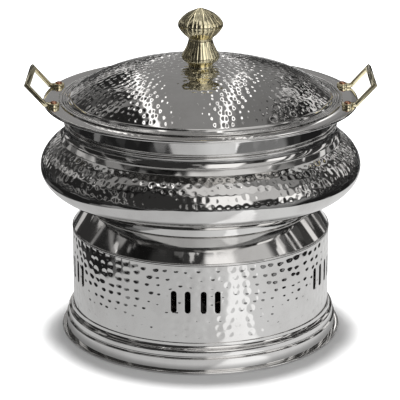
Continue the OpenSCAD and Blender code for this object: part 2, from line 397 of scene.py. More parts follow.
class Nodes:
    """A short way to write a shader's nodes."""

    def __init__(self, tree):
        self.tree = tree
        tree.nodes.clear()

    def add(self, kind, inputs=None, **settings):
        node = self.tree.nodes.new(kind)
        for key, value in settings.items():
            setattr(node, key, value)
        for key, value in (inputs or {}).items():
            if isinstance(value, bpy.types.NodeSocket):
                self.tree.links.new(value, node.inputs[key])
            else:
                node.inputs[key].default_value = value
        return node

    def math(self, operation, *values):
        return self.add("ShaderNodeMath", dict(enumerate(values)), operation=operation).outputs[0]

    def radius(self, x, y):
        """The distance from the upright axis."""
        return self.math("SQRT", self.math("ADD", self.math("MULTIPLY", x, x), self.math("MULTIPLY", y, y)))

    def ramp(self, value, low, high, to_low=0.0, to_high=1.0):
        inputs = {"Value": value, "From Min": low, "From Max": high, "To Min": to_low, "To Max": to_high}
        return self.add("ShaderNodeMapRange", inputs, interpolation_type="SMOOTHSTEP").outputs["Result"]

    def noise(self, vector, scale, detail=3.0, roughness=0.5):
        inputs = {"Vector": vector, "Scale": scale, "Detail": detail, "Roughness": roughness}
        return self.add("ShaderNodeTexNoise", inputs).outputs["Fac"]

    def mix_colour(self, fac, a, b):
        inputs = {"Factor": fac, "A": a, "B": b}
        node = self.add("ShaderNodeMix", data_type="RGBA")
        for key, value in inputs.items():
            kind = "VALUE" if key == "Factor" else "RGBA"
            socket = next(s for s in node.inputs if s.name == key and s.type == kind and s.enabled)
            if isinstance(value, bpy.types.NodeSocket):
                self.tree.links.new(value, socket)
            else:
                socket.default_value = value
        return next(s for s in node.outputs if s.enabled)


# How fine the metal's patterns are, per metre, and how slowly polishing lines change around the axis
LINE_SCALE, CLOUD_SCALE, GRAIN_SCALE = 900.0, 24.0, 1400.0
LINE_STRETCH = 0.012
SMEAR_ROUGHNESS, LINE_ROUGHNESS = 0.07, 0.04
BUMP_STRENGTH, BUMP_DEPTH = 0.12, 0.0001


def new_material(name):
    """A material, and its empty node tree."""
    material = bpy.data.materials.new(name)
    material.use_nodes = True
    return material, Nodes(material.node_tree)


def metal(name, colour, stain, roughness, lines, grain):
    """Worked metal: turned polishing lines, cloudy smears that dull it, faint stains and a fine grain."""
    material, nodes = new_material(name)
    place_at = nodes.add("ShaderNodeTexCoord").outputs["Object"]
    xyz = nodes.add("ShaderNodeSeparateXYZ", {"Vector": place_at})
    x, y, z = (xyz.outputs[k] for k in range(3))
    turn = nodes.math("MULTIPLY", nodes.math("ARCTAN2", y, x), LINE_STRETCH)
    around = nodes.add("ShaderNodeCombineXYZ", {"X": nodes.radius(x, y), "Y": turn, "Z": z}).outputs[0]
    spun = nodes.noise(around, LINE_SCALE, 2.0)
    cloud = nodes.noise(place_at, CLOUD_SCALE, 4.0, 0.6)
    speck = nodes.noise(place_at, GRAIN_SCALE, 2.0)
    stained = nodes.mix_colour(nodes.ramp(cloud, 0.35, 0.75), (*colour, 1), (*stain, 1))
    smear = nodes.ramp(cloud, 0.42, 0.72, roughness, roughness + SMEAR_ROUGHNESS)
    rough = nodes.math("ADD", smear, nodes.math("MULTIPLY", spun, LINE_ROUGHNESS * lines))
    height = nodes.math("ADD", nodes.math("MULTIPLY", spun, lines), nodes.math("MULTIPLY", speck, grain))
    bump = nodes.add("ShaderNodeBump", {
        "Strength": BUMP_STRENGTH, "Distance": BUMP_DEPTH, "Height": height,
    })
    shader = nodes.add("ShaderNodeBsdfPrincipled", {
        "Base Color": stained, "Metallic": 1.0, "Roughness": rough, "Normal": bump.outputs[0],
    })
    nodes.add("ShaderNodeOutputMaterial", {"Surface": shader.outputs[0]})
    return material


# Colour, stained colour, roughness, strength of the polishing lines and of the grain
FINISHES = {
    "hammered_steel": ((0.74, 0.735, 0.725), (0.66, 0.65, 0.64), 0.045, 0.3, 0.02),
    "polished_steel": ((0.76, 0.755, 0.745), (0.69, 0.68, 0.67), 0.035, 0.5, 0.02),
    "polished_brass": ((1.0, 0.92, 0.64), (0.98, 0.87, 0.56), 0.08, 0.1, 0.2),
    "screw_brass": ((0.62, 0.33, 0.22), (0.48, 0.25, 0.17), 0.2, 0.1, 0.2),
    "plain_steel": ((0.55, 0.55, 0.56), (0.42, 0.41, 0.40), 0.28, 0.4, 0.4),
    "burner_steel": ((0.62, 0.61, 0.6), (0.5, 0.44, 0.38), 0.22, 0.9, 0.2),
}
MATERIALS = {name: metal(name, *finish) for name, finish in FINISHES.items()}


def finished(piece, body, slot, *nodes):
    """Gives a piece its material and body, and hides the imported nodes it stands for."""
    piece.data.materials.clear()
    piece.data.materials.append(MATERIALS[slot])
    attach(piece, body)
    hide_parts(*nodes)


# ---------------------------------------------------------------- stand

SLOT_W, SLOT_H, SLOT_Z = 6.6, 26.0, 81.0
SLOT_HALF = SLOT_H / 2 - SLOT_W / 2             # from its middle to the centre of an end
SLOT_GROUPS, SLOTS_PER_GROUP = 5, 4
# Degrees: between slots, the extra gap in the middle of a group, the first group's direction
SLOT_PITCH, SLOT_GAP, SLOT_TURN = 6.0, 0.8, -92.1
DRAWN_IN, DRAWN_W = 0.35, 1.6                   # how the sheet dips towards a punched slot


def slot_angles():
    """The direction of each vent slot, in degrees."""
    middle = (SLOTS_PER_GROUP - 1) / 2
    for group in range(SLOT_GROUPS):
        facing = SLOT_TURN + group * 360 / SLOT_GROUPS
        for i in range(SLOTS_PER_GROUP):
            away = i - middle
            yield facing + away * SLOT_PITCH + math.copysign(SLOT_GAP / 2, away)


def slot_cutter(angle):
    """A cutter for the slot that faces the angle, which goes right through the wall."""
    reach = 8
    end = [(SLOT_W / 2 * math.cos(t), SLOT_W / 2 * math.sin(t)) for t in np.linspace(0, math.pi, 13)]
    outline = [(x, y + SLOT_HALF) for x, y in end] + [(-x, -y - SLOT_HALF) for x, y in end]
    cutter = prism("slot_cutter", outline, -reach, reach)
    upright = Matrix.Rotation(math.pi / 2, 4, "X")
    facing = Matrix.Rotation(math.radians(angle) + math.pi / 2, 4, "Z")
    move = Matrix.Translation((0, 0, SLOT_Z)) @ facing @ Matrix.Translation((0, -WALL_R, 0)) @ upright
    return place(cutter, move)


def slot_edges(stretch, count):
    """How far the sheet is drawn in around each punched slot."""
    depths = np.zeros((len(stretch), count))
    angles = even_angles(count)
    for angle in slot_angles():
        away = (angles - math.radians(angle) + math.pi) % (2 * math.pi) - math.pi
        across = np.abs(away) * WALL_R
        beyond = np.clip(np.abs(stretch[:, 1] - SLOT_Z) - SLOT_HALF, 0, None)
        gap = np.hypot(across[None, :], beyond[:, None]) - SLOT_W / 2
        depths = np.maximum(depths, DRAWN_IN * np.clip(1 - gap / DRAWN_W, 0, 1) ** 2)
    return depths


def make_stand_shell():
    """The hammered wall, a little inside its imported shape, with its vent slots punched."""
    count, inset, slot_edge_angle = 840, 0.04, 50
    stretch = resampled([(WALL_R, WALL_TOP), (WALL_R, WALL_LOW)], FINE_PITCH)
    dents = hammer_rows(stretch, row_pitch=9.7, pitch=12.4, size=4.5, depth=0.55,
                        seed=11, ends=(0.36, 1.85))
    depths = np.maximum(dent_depths(stretch, count, dents), slot_edges(stretch, count))
    depths += waves(stretch, count, height=0.02, seed=12) + inset
    rings = pressed_rings(stretch, count, eased(depths, 1))
    rings += [ring(r, z, count) for r, z in resampled([(WALL_IN, WALL_LOW), (WALL_IN, WALL_TOP)], 12)]
    shell = new_piece("stand_shell_hammered", *ring_grid(rings, closed=True))
    cutters = joined("slot_cutters", [slot_cutter(angle) for angle in slot_angles()])
    cut(shell, cutters, solver="MANIFOLD")
    shell.data.set_sharp_from_angle(angle=math.radians(slot_edge_angle))
    finished(shell, "stand", "hammered_steel", "stand_shell")


def make_stand_shoulder():
    """A sloping cap whose skirt fits inside the top of the wall."""
    mouth_r, mouth_h, seat_w = 108.0, 8, 8
    corner_r, corner = 130.6, 2.0
    slope_end_z, skirt_z = WALL_TOP + 3, WALL_TOP - 5
    mouth = [(mouth_r, SEAT_Z - mouth_h), (mouth_r, SEAT_Z), (mouth_r + seat_w, SEAT_Z)]
    path = rounded(mouth, 1.6, closed=False)
    path += arc(corner_r, SEAT_Z - corner, corner, corner, 90, 36, 6)
    path += rounded([path[-1], (WALL_IN, slope_end_z), (WALL_IN, skirt_z)], 0.8, closed=False)[1:]
    shoulder = lathe("stand_shoulder_spun", path + offset_path(path, SHEET)[::-1], 288)
    finished(shoulder, "stand", "polished_steel", "stand_shoulder")


def make_stand_bead():
    """A half-round bead over the seam of wall and shoulder."""
    half_w, half_h = 1.3, 1.5
    bead = lathe("stand_bead_ring", arc(WALL_IN, WALL_TOP + half_h, half_w, half_h, -90, 90, 14), 288)
    finished(bead, "stand", "polished_steel", "stand_bead")


def make_base_moulding():
    """A collar around the wall, a cove, a sloping band, a groove and the tall face."""
    collar_r, collar_h = WALL_R + SHEET, 1.5
    cove_w, cove_h = 2.6, 4.8
    band_r, band_z, band_w, band_h = 153.4, 23.4, 2.2, 3.1
    band_foot, groove_top, groove_low = (155.9, 19.4), (155.2, 18.4), (155.2, 17.4)
    face_top = (BAND_R - 1, 16.4)
    thickness = 0.9 * SHEET
    path = [(collar_r, MOULDING_TOP)]
    path += arc(collar_r + cove_w, MOULDING_TOP - collar_h, cove_w, cove_h, 180, 255, 8)
    path += arc(band_r, band_z, band_w, band_h, 66, 25, 6)
    lower = [path[-1], band_foot, groove_top, groove_low, face_top, (BAND_R, BASE_RIM_TOP)]
    path += rounded(lower, 0.5, closed=False)[1:]
    outline = rounded(path + offset_path(path, thickness)[::-1], 0.3)
    finished(lathe("base_moulding_spun", outline, 320), "stand", "polished_steel", "base_moulding")


def make_base_rim():
    """A rolled rim, half round on the outside, that the kettle rests on."""
    inner_r, half = 157.4, BASE_RIM_TOP / 2
    outline = [(inner_r, BASE_RIM_TOP), (inner_r, 0)] + arc(BASE_R - half, half, half, half, -90, 90, 20)
    rim = lathe("base_rim_rolled", rounded(outline, 0.4), 320)
    finished(rim, "stand", "polished_steel", "base_rim")


def make_shelf():
    """A round shelf with a turned-down edge."""
    corner, edge_h = 2.5, 7.7
    path = [(0, SHELF_Z), (SHELF_R - 3, SHELF_Z), (SHELF_R, SHELF_Z - 2), (SHELF_R, SHELF_Z - edge_h)]
    path = rounded(path, corner, closed=False)
    outline = path + offset_path(path, SHEET)[::-1]
    outline[-1] = (0, SHELF_Z - SHEET)
    finished(lathe("burner_shelf_pressed", outline, 192), "stand", "burner_steel", "burner_shelf")


def make_locator():
    """A low ring with a sloping outside, which keeps the burner in the middle of the shelf."""
    inner_r, foot_w, height = 48.5, 3.5, 3.6
    outline = [(inner_r, SHELF_Z), (inner_r, SHELF_Z + height - 1), (inner_r + 1, SHELF_Z + height),
               (inner_r + foot_w, SHELF_Z)]
    locator = lathe("burner_locator_ring", rounded(outline, 0.5), 128)
    finished(locator, "stand", "burner_steel", "burner_locator")


# ---------------------------------------------------------------- water pan

def make_water_pan():
    """A hammered belly between a smooth cove under the rim and a smooth bowl."""
    count, inset = 960, 0.05
    cove_w, cove_h, clearance = 6.8, 10.3, 0.2
    belly_centre_r, belly_h = 49, 58
    bowl_w = BELLY_R - FOOT_R - 1.5
    cove = arc(NECK_R + clearance + cove_w, COVE_TOP, cove_w, cove_h, 180, 250, 16)
    belly = arc(belly_centre_r, BELLY_Z, BELLY_R - belly_centre_r, belly_h, 35, 0, 60)
    belly = resampled(belly, FINE_PITCH)
    bowl = arc(BELLY_R - bowl_w, BELLY_Z, bowl_w, BELLY_Z - FOOT_TOP, -2, -90, 44)
    floor = [(FOOT_R - 3, FOOT_TOP), (100, 161), (60, PAN_LOW), (0, PAN_LOW)]
    dents = hammer_rows(belly, row_pitch=8.2, pitch=10.6, size=3.9, depth=0.34, seed=21, ends=(0.7, 0.7))
    depths = dent_depths(belly, count, dents) + waves(belly, count, height=0.03, seed=22) + inset
    inside = offset_path(cove + belly[1:].tolist()[::6] + bowl[1:] + floor, SHEET)[::-1]
    inside[0] = (0, PAN_LOW + SHEET)
    smooth = count // 2
    rings = [ring(r, z, smooth) for r, z in cove[:-1]]
    rings += pressed_rings(belly, count, eased(depths, 4))
    rings += [ring(r, z, smooth) for r, z in bowl[1:] + floor + inside]
    pan = new_piece("water_pan_hammered", *ring_grid(rings, closed=True))
    finished(pan, "water_pan_body", "hammered_steel", "water_pan")


def make_water_pan_rim():
    """A wire around the rim of the water pan."""
    radius = (WIRE_TOP - WIRE_LOW) / 2
    outline = arc(WIRE_R - radius, WIRE_LOW + radius, radius, radius, 0, 345, 23)
    rim = lathe("water_pan_rim_wired", outline, 320)
    finished(rim, "water_pan_body", "polished_steel", "water_pan_rim")


def make_water_pan_foot():
    """The ring under the water pan, turned in where it stands on the shoulder."""
    turned_in = 7
    path = [(FOOT_R, FOOT_TOP), (FOOT_R, SEAT_Z), (FOOT_R - turned_in, SEAT_Z)]
    path = rounded(path, 1.2, closed=False)
    foot = lathe("water_pan_foot_ring", rounded(path + offset_path(path, SHEET)[::-1], 0.3), 288)
    finished(foot, "water_pan_body", "polished_steel", "water_pan_foot")


# ---------------------------------------------------------------- food pan

ROLL_R = 1.8
SCREW_X, SCREW_Y = 165.0, 43.0


def make_food_pan():
    """A flange with a rolled edge, a neck with a bead at its foot, a step that rests on the rim, a well."""
    under = FLANGE_Z - SHEET
    bend = 3
    bead_w, bead_h = 1.3, 1.4
    well_r, well_corner = 146.0, 15
    roll_in = FLANGE_R - 2 * ROLL_R
    roll = arc(FLANGE_R - ROLL_R, FLANGE_Z - ROLL_R, ROLL_R, ROLL_R, 90, -180, 24)
    roll += [(roll_in, under - 0.2), (roll_in - 1, under)]
    wall = arc(NECK_R + bend, under - bend, bend, bend, 90, 180, 8)
    wall += [(NECK_R, WIRE_TOP + 3.2)]
    wall += arc(NECK_R, WIRE_TOP + 1.8, bead_w, bead_h, 75, -75, 10)
    wall += [(NECK_R, WIRE_TOP), (well_r, WIRE_TOP)]
    wall += arc(well_r - well_corner, WELL_Z + well_corner, well_corner, well_corner, 0, -90, 16)
    wall += [(0, WELL_Z)]
    inside = offset_path(wall, SHEET)[::-1]
    inside[0] = (0, WELL_Z + SHEET)
    inside[-1] = (roll_in - 1, FLANGE_Z)
    pan = lathe("food_pan_spun", roll + wall + inside, 320)
    finished(pan, "food_pan_body", "polished_steel", "food_pan")


TAB_R, TAB_T, TAB_REACH = 6.5, 4.0, 11.3
LEG_W, LEG_INSET, LEG_LEN = 6.0, 1.2, 32.6
BAR_T, GRIP_W, TILT = 4.5, 6.0, 48.0            # tilt in degrees


def handle_tab(y):
    """The level outline of a handle's tab: round about its screw, and running out to its leg."""
    overlap = 0.6
    leg_y = y - math.copysign(LEG_INSET, y)
    start = math.asin(min(1.0, (leg_y - y + LEG_W / 2) / TAB_R))
    end = math.asin(max(-1.0, (leg_y - y - LEG_W / 2) / TAB_R))
    outline = [(SCREW_X + TAB_R * math.cos(t), y + TAB_R * math.sin(t))
               for t in np.linspace(start, 2 * math.pi + end, 33)]
    leg_x = SCREW_X + TAB_REACH + overlap
    return outline + [(leg_x, leg_y - LEG_W / 2), (leg_x, leg_y + LEG_W / 2)]


def make_handle(name, node, side):
    """A cast strap handle: two round tabs and a square-cornered loop that slopes outwards."""
    half = SCREW_Y - LEG_INSET + LEG_W / 2
    loop = [
        (0, -half), (LEG_LEN, -half), (LEG_LEN, half), (0, half),
        (0, half - LEG_W), (LEG_LEN - GRIP_W, half - LEG_W),
        (LEG_LEN - GRIP_W, -half + LEG_W), (0, -half + LEG_W),
    ]
    handle = prism(name, loop, 0, BAR_T)
    foot = Matrix.Translation((SCREW_X + TAB_REACH, 0, FLANGE_Z))
    place(handle, foot @ Matrix.Rotation(-math.radians(TILT), 4, "Y"))
    for y in (-SCREW_Y, SCREW_Y):
        cut(handle, prism("tab", handle_tab(y), FLANGE_Z, FLANGE_Z + TAB_T), "UNION")
    near, far, wide, deep = 100, 220, 90, 20
    under = [(near, -wide), (far, -wide), (far, wide), (near, wide)]
    cut(handle, prism("under", under, FLANGE_Z - deep, FLANGE_Z))
    softened(handle, 0.7)
    if side < 0:
        place(handle, Matrix.Rotation(math.pi, 4, "Z"))
    finished(handle, "food_pan_body", "polished_brass", node)


def at_screws(name, make):
    """One piece made of a copy at each of the four handle screws."""
    copies = []
    for x in (-SCREW_X, SCREW_X):
        for y in (-SCREW_Y, SCREW_Y):
            copies.append(place(make(), Matrix.Translation((x, y, 0))))
    return joined(name, copies)


SHANK_R = 2.5
WASHER_T = 1


def make_handle_screws():
    """Four round-headed screws."""
    shank_end, head_z = FLANGE_Z - 8, FLANGE_Z + TAB_T
    head_r, head_h, head_edge = 4, 2.0, 0.4
    outline = [(0, shank_end), (SHANK_R - 0.4, shank_end), (SHANK_R, shank_end + 0.6), (SHANK_R, head_z),
               (head_r - 0.2, head_z)]
    outline += arc(0, head_z + head_edge, head_r, head_h, 0, 90, 10)
    screws = at_screws("handle_screws_domed", lambda: lathe("screw", outline, 48))
    finished(screws, "food_pan_body", "screw_brass", "handle_screws")


def hex_nut(corner_r, bottom, top, bore):
    """A six-sided nut with chamfered corners and an open bore."""
    outline = [(corner_r * math.cos(t), corner_r * math.sin(t)) for t in np.radians(np.arange(0, 360, 60))]
    nut = prism("nut", outline, bottom, top)
    flat_r, edge_r, past, drop = 0.86 * corner_r, corner_r + 0.2, 0.1, 0.9
    chamfer = [(0, bottom - past), (flat_r, bottom - past), (edge_r, bottom + drop),
               (edge_r, top - drop), (flat_r, top + past), (0, top + past)]
    cut(nut, lathe("chamfer", chamfer, 48), "INTERSECT")
    return cut(nut, lathe("bore", [(0, bottom - 1), (bore, bottom - 1), (bore, top + 1), (0, top + 1)], 48))


def make_handle_nuts():
    """A nut on each screw, under its washer."""
    top = FLANGE_Z - SHEET - WASHER_T
    nuts = at_screws("handle_nuts_hex", lambda: hex_nut(4.6, top - 4, top, SHANK_R))
    finished(nuts, "food_pan_body", "plain_steel", "handle_nuts")


def flat_washer(name, hole_r, outer_r, top, thickness, corner, count):
    """A flat ring with slightly rounded edges."""
    low = top - thickness
    outline = [(hole_r, low), (outer_r, low), (outer_r, top), (hole_r, top)]
    return lathe(name, rounded(outline, corner), count)


def make_handle_washers():
    """A washer under the flange for each screw."""
    outer_r, top = 5, FLANGE_Z - SHEET
    washers = at_screws("handle_washers_flat",
                        lambda: flat_washer("washer", SHANK_R, outer_r, top, WASHER_T, 0.25, 48))
    finished(washers, "food_pan_body", "plain_steel", "handle_washers")


# ---------------------------------------------------------------- lid

BAND_TOP = FLANGE_Z + SHEET
DOME_EDGE_Z = BAND_TOP + 2.2
DOME_H = APEX_Z - DOME_EDGE_Z
DOME_POWER = 3.4
SEAT_R = 15.0


def dome_point(r):
    return (r, DOME_EDGE_Z + DOME_H * (1 - (r / DOME_R) ** DOME_POWER))


def ripple(r):
    """Three fine raised beads turned into the lid's flat band."""
    height, width, beads = 0.42, 0.5, (152.9, 155.2, 158.1)
    return sum(height * math.exp(-((r - centre) / width) ** 2) for centre in beads)


def make_lid():
    """A hammered dome with a smooth beaded band; its rings have fewer points near the knob and below."""
    fine, inset = 840, 0.06
    half, quarter = fine // 2, fine // 4
    hole_r, flat_r = 3.2, 9
    quarter_within, half_within = 34, 76
    dome = resampled([dome_point(r) for r in np.linspace(SEAT_R, DOME_R - 0.6, 90)], 1.3)
    dents = hammer_rows(dome, row_pitch=8.0, pitch=9.6, size=3.6, depth=0.26, seed=31, ends=(0.5, 0.8))
    depths = dent_depths(dome, fine, dents) + waves(dome, fine, height=0.04, seed=32) + inset
    rings = [ring(hole_r, APEX_Z, quarter), ring(flat_r, APEX_Z, quarter)]
    for (r, _), row in zip(dome, pressed_rings(dome, fine, eased(depths, 2))):
        step = 4 if r < quarter_within else 2 if r < half_within else 1
        rings.append(row[::step])
    edge = [tuple(dome[-1]), (DOME_R + 0.2, BAND_TOP + 0.9), (DOME_R + 1.4, BAND_TOP)]
    edge = rounded(edge, 0.8, closed=False)
    band = [(r, BAND_TOP - 0.3 + ripple(r)) for r in np.linspace(DOME_R + 1.6, LID_R - 1.2, 60)]
    lip = arc(LID_R - 0.6, BAND_TOP - 0.6, 0.6, 0.6, 80, -80, 8)
    rings += [ring(r, z, half) for r, z in edge[1:-1] + band + lip]
    below = [(LID_R - 2, FLANGE_Z), (DOME_R + 1, FLANGE_Z), (DOME_R - 1, DOME_EDGE_Z - 1.6)]
    below += [(r, dome_point(r)[1] - SHEET - 0.45) for r in np.linspace(DOME_R - 4, SEAT_R + 4, 24)]
    below += [(SEAT_R, APEX_Z - SHEET), (hole_r, APEX_Z - SHEET)]
    rings += [ring(r, z, quarter) for r, z in below]
    lid = new_piece("lid_shell_hammered", *ring_grid(rings, closed=True))
    finished(lid, "lid", "hammered_steel", "lid_shell")


def make_lid_skirt():
    """A thin ring under the lid."""
    radius, low, _ = span("lid_skirt")
    outline = rounded([(radius, FLANGE_Z), (radius, low), (radius - 1, low), (radius - 1, FLANGE_Z)], 0.35)
    finished(lathe("lid_skirt_ring", outline, 288), "lid", "polished_steel", "lid_skirt")


FLUTES = 26
GROOVE_DEPTH, GROOVE_POWER = 0.8, 2.6


def knob_profile():
    """Heights, and the radius and depth of the flutes at each, from the foot of the knob to its point."""
    height = KNOB_TOP - KNOB_LOW
    drawn_height = 66.6
    lower = KNOB_R * 0.84
    waist = KNOB_R * 0.535
    marks = [
        (0, 14.0, 0), (1.5, 14.6, 0), (4, 17.2, 0.3), (7, lower - 1.2, 0.5), (10.2, lower, 0.6),
        (13.5, 20.6, 0.6), (18, 18.2, 0.5), (23, 15.8, 0.4), (28, 14.2, 0.2), (30, waist, 0.1),
        (32.5, 14.8, 0.3), (35.5, 18.3, 0.7), (39, 21.6, 0.9), (42.5, 24.2, 1.0),
        (45.8, KNOB_R - 0.15, 1.0), (48, KNOB_R, 1.0), (51, 24.6, 1.0), (54, 22.4, 1.0),
        (57.5, 18.8, 0.9), (60.8, 14.2, 0.7), (63.2, 9.4, 0.4), (64.8, 5.4, 0.1), (65.9, 2.4, 0),
    ]
    heights, radii, flutes = np.array(marks).T
    levels = np.linspace(0, heights[-1], 118)
    smooth_radii = smooth_through(heights, radii, levels)
    return KNOB_LOW + levels * height / drawn_height, smooth_radii, np.interp(levels, heights, flutes)


def smooth_through(xs, ys, at):
    """A smooth curve through points, without overshoot at a turn."""
    slopes = np.diff(ys) / np.diff(xs)
    tangents = np.r_[slopes[0], np.zeros(len(xs) - 2), slopes[-1]]
    for k in range(1, len(xs) - 1):
        a, b = slopes[k - 1], slopes[k]
        tangents[k] = 0 if a * b <= 0 else 2 * a * b / (a + b)
    k = np.clip(np.searchsorted(xs, at, side="right") - 1, 0, len(xs) - 2)
    step = xs[k + 1] - xs[k]
    t = (at - xs[k]) / step
    return (ys[k] * (1 + 2 * t) * (1 - t) ** 2 + ys[k + 1] * t * t * (3 - 2 * t)
            + step * t * (1 - t) * (tangents[k] * (1 - t) - tangents[k + 1] * t))


def flute_grooves(angles):
    """The angles, turned to begin at the edge of a flute, and how deep the groove is at each."""
    rng = np.random.default_rng(41)
    edges = 2 * math.pi * (np.arange(FLUTES) + rng.uniform(-0.16, 0.16, FLUTES)) / FLUTES
    edges = np.r_[edges, edges[0] + 2 * math.pi]
    angles = edges[0] + angles
    flute = np.clip(np.searchsorted(edges, angles, side="right") - 1, 0, FLUTES - 1)
    across = (angles - edges[flute]) / (edges[flute + 1] - edges[flute])
    edge_depths = rng.uniform(0.45, 1.15, FLUTES)
    nearest = np.where(across < 0.5, flute, (flute + 1) % FLUTES)
    return angles, edge_depths[nearest] * (1 - np.sin(math.pi * across)) ** GROOVE_POWER


def make_knob():
    """A cast onion knob, whose flutes are uneven in width and depth."""
    angles, groove = flute_grooves(even_angles(FLUTES * 14))
    rings = [ring(0, KNOB_LOW, 1)]
    for z, radius, depth in zip(*knob_profile()):
        rings.append(ring_points(radius - GROOVE_DEPTH * depth * groove, angles, np.full(len(angles), z)))
    rings.append(ring(0, KNOB_TOP, 1))
    vertices, faces = ring_grid(rings, closed=False)
    faces = [face[::-1] for face in faces]
    knob = new_piece("lid_knob_fluted", vertices, faces, smooth_angle=60)
    finished(knob, "lid", "polished_brass", "lid_knob")


def make_knob_fixing():
    """The stud in the knob, with a washer and a nut under the lid."""
    stud_r, washer_r, washer_t = 3, 8, 1.2
    under = APEX_Z - SHEET
    washer = flat_washer("knob_washer_flat", stud_r, washer_r, under, washer_t, 0.3, 64)
    finished(washer, "lid", "plain_steel", "knob_washer")
    nut = hex_nut(5.8, under - 6.2, under - washer_t, stud_r)
    nut.name = "knob_nut_hex"
    finished(nut, "lid", "plain_steel", "knob_nut")
    low, high = APEX_Z - 9, APEX_Z + 19.8
    outline = [(0, low), (stud_r - 0.6, low), (stud_r, low + 0.6), (stud_r, high), (0, high)]
    finished(lathe("knob_stud_threaded", outline, 48), "lid", "plain_steel", "knob_stud")


# ---------------------------------------------------------------- burner

PLAIN_NODES = {
    "snuffer_bracket": "burner_steel",
    "snuffer_pin": "plain_steel",
    "handle_rivets": "plain_steel",
    "burner_saucer": "burner_steel",
    "burner_handle": "plain_steel",
    "fuel_pot": "burner_steel",
    "wick_screen": "plain_steel",
    "snuffer_cover": "burner_steel",
    "snuffer_knob": "polished_brass",
}


def dress_plain_nodes():
    """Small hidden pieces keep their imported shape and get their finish."""
    for node, slot in PLAIN_NODES.items():
        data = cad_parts[node].data
        data.materials.clear()
        data.materials.append(MATERIALS[slot])


# ---------------------------------------------------------------- studio

# Metres: half the floor, and the ends of the lit table top that the metal mirrors
FLOOR_HALF = 6.0
TABLE_LEFT, TABLE_RIGHT, TABLE_FRONT = -0.36, 0.44, -1.1
SIDE_SOFT, FRONT_SOFT = 0.012, 0.05
STREAK_SIDE = (0.848, 0.53)                     # level direction across the streak of light
STREAK_OFFSET, STREAK_EDGE, STREAK_END = 0.035, (0.06, 0.09), (-0.18, -0.12)
STREAK_LEVEL = 1.15
SHADE_W = 0.045                                 # of the shade around the kettle's foot
FLOOR_COLOUR = (0.86, 0.86, 0.86, 1)
# Contrast of the clutter, its blocks per metre of floor, and their size in the room in degrees
CLUTTER_POWER = 7.0
FLOOR_BLOCKS = 7.0
ROOM_BLOCK_W, ROOM_BLOCK_H = 8.0, 6.0


def clutter(nodes, across, up, low, high):
    """Blocks of random brightness, as the odds and ends of a room look in a mirror."""
    spot = nodes.add("ShaderNodeCombineXYZ", {"X": across, "Y": up, "Z": 0.5}).outputs[0]
    cells = nodes.add("ShaderNodeTexVoronoi", {"Vector": spot, "Scale": 1.0, "Randomness": 0.9},
                      distance="CHEBYCHEV")
    chance = nodes.add("ShaderNodeSeparateColor", {"Color": cells.outputs["Color"]}).outputs["Red"]
    return nodes.add("ShaderNodeMapRange", {
        "Value": nodes.math("POWER", chance, CLUTTER_POWER), "To Min": low, "To Max": high,
    }).outputs["Result"]


def beside_table(nodes, x, y):
    """The floor beyond the table: dark clutter, with a paler aisle at the right and in front."""
    across, along = (nodes.math("MULTIPLY", value, FLOOR_BLOCKS) for value in (x, y))
    aisle = nodes.math("MULTIPLY", nodes.ramp(x, 0.3, 0.5), nodes.ramp(y, -0.35, -0.25, 0.2, 0.0))
    return nodes.math("ADD", clutter(nodes, across, along, 0.015, 0.3), aisle)


def light_streak(nodes, place_at, x, y):
    """How much of the streak of light, with its ragged edges, falls on the table in front of the kettle."""
    ragged = nodes.math("MULTIPLY", nodes.noise(place_at, 9.0), 0.06)
    side_x, side_y = (nodes.math("MULTIPLY", value, part) for value, part in zip((x, y), STREAK_SIDE))
    off = nodes.math("ABSOLUTE", nodes.math("ADD", nodes.math("ADD", side_x, side_y), STREAK_OFFSET))
    streak = nodes.ramp(nodes.math("ADD", off, ragged), *STREAK_EDGE, 1.0, 0.0)
    return nodes.math("MULTIPLY", streak, nodes.ramp(y, *STREAK_END, 1.0, 0.0))


def floor_in_mirror(nodes, place_at):
    """How bright the floor looks in the metal: a lit table top with a streak, and darker floor around it."""
    xyz = nodes.add("ShaderNodeSeparateXYZ", {"Vector": place_at})
    x, y = xyz.outputs[0], xyz.outputs[1]
    plain = nodes.ramp(x, -0.15, 0.2, 0.57, 0.78)
    top = nodes.ramp(light_streak(nodes, place_at, x, y), 0.0, 1.0, plain, STREAK_LEVEL)
    foot = BASE_R * MM
    top = nodes.math("MULTIPLY", top, nodes.ramp(nodes.radius(x, y), foot, foot + SHADE_W, 0.4, 1.0))
    left = nodes.ramp(x, TABLE_LEFT - SIDE_SOFT, TABLE_LEFT + SIDE_SOFT)
    right = nodes.ramp(x, TABLE_RIGHT - SIDE_SOFT, TABLE_RIGHT + SIDE_SOFT, 1.0, 0.0)
    front = nodes.ramp(y, TABLE_FRONT - FRONT_SOFT, TABLE_FRONT + FRONT_SOFT)
    on_table = nodes.math("MULTIPLY", nodes.math("MULTIPLY", left, right), front)
    return nodes.ramp(on_table, 0.0, 1.0, beside_table(nodes, x, y), top)


def make_floor():
    """A plain pale floor, which mirror rays find as a table top in a darker room."""
    half = FLOOR_HALF
    mesh = bpy.data.meshes.new("floor")
    corners = [(-half, -half, 0), (half, -half, 0), (half, half, 0), (-half, half, 0)]
    mesh.from_pydata(corners, [], [(0, 1, 2, 3)])
    material, nodes = new_material("floor")
    mirror_ray = nodes.add("ShaderNodeLightPath").outputs["Is Glossy Ray"]
    place_at = nodes.add("ShaderNodeNewGeometry").outputs["Position"]
    glow = nodes.add("ShaderNodeEmission", {"Strength": floor_in_mirror(nodes, place_at)})
    pale = nodes.add("ShaderNodeBsdfDiffuse", {"Color": FLOOR_COLOUR})
    shader = nodes.add("ShaderNodeMixShader", {0: mirror_ray, 1: pale.outputs[0], 2: glow.outputs[0]})
    nodes.add("ShaderNodeOutputMaterial", {"Surface": shader.outputs[0]})
    mesh.materials.append(material)
    floor = new_object("floor", mesh)


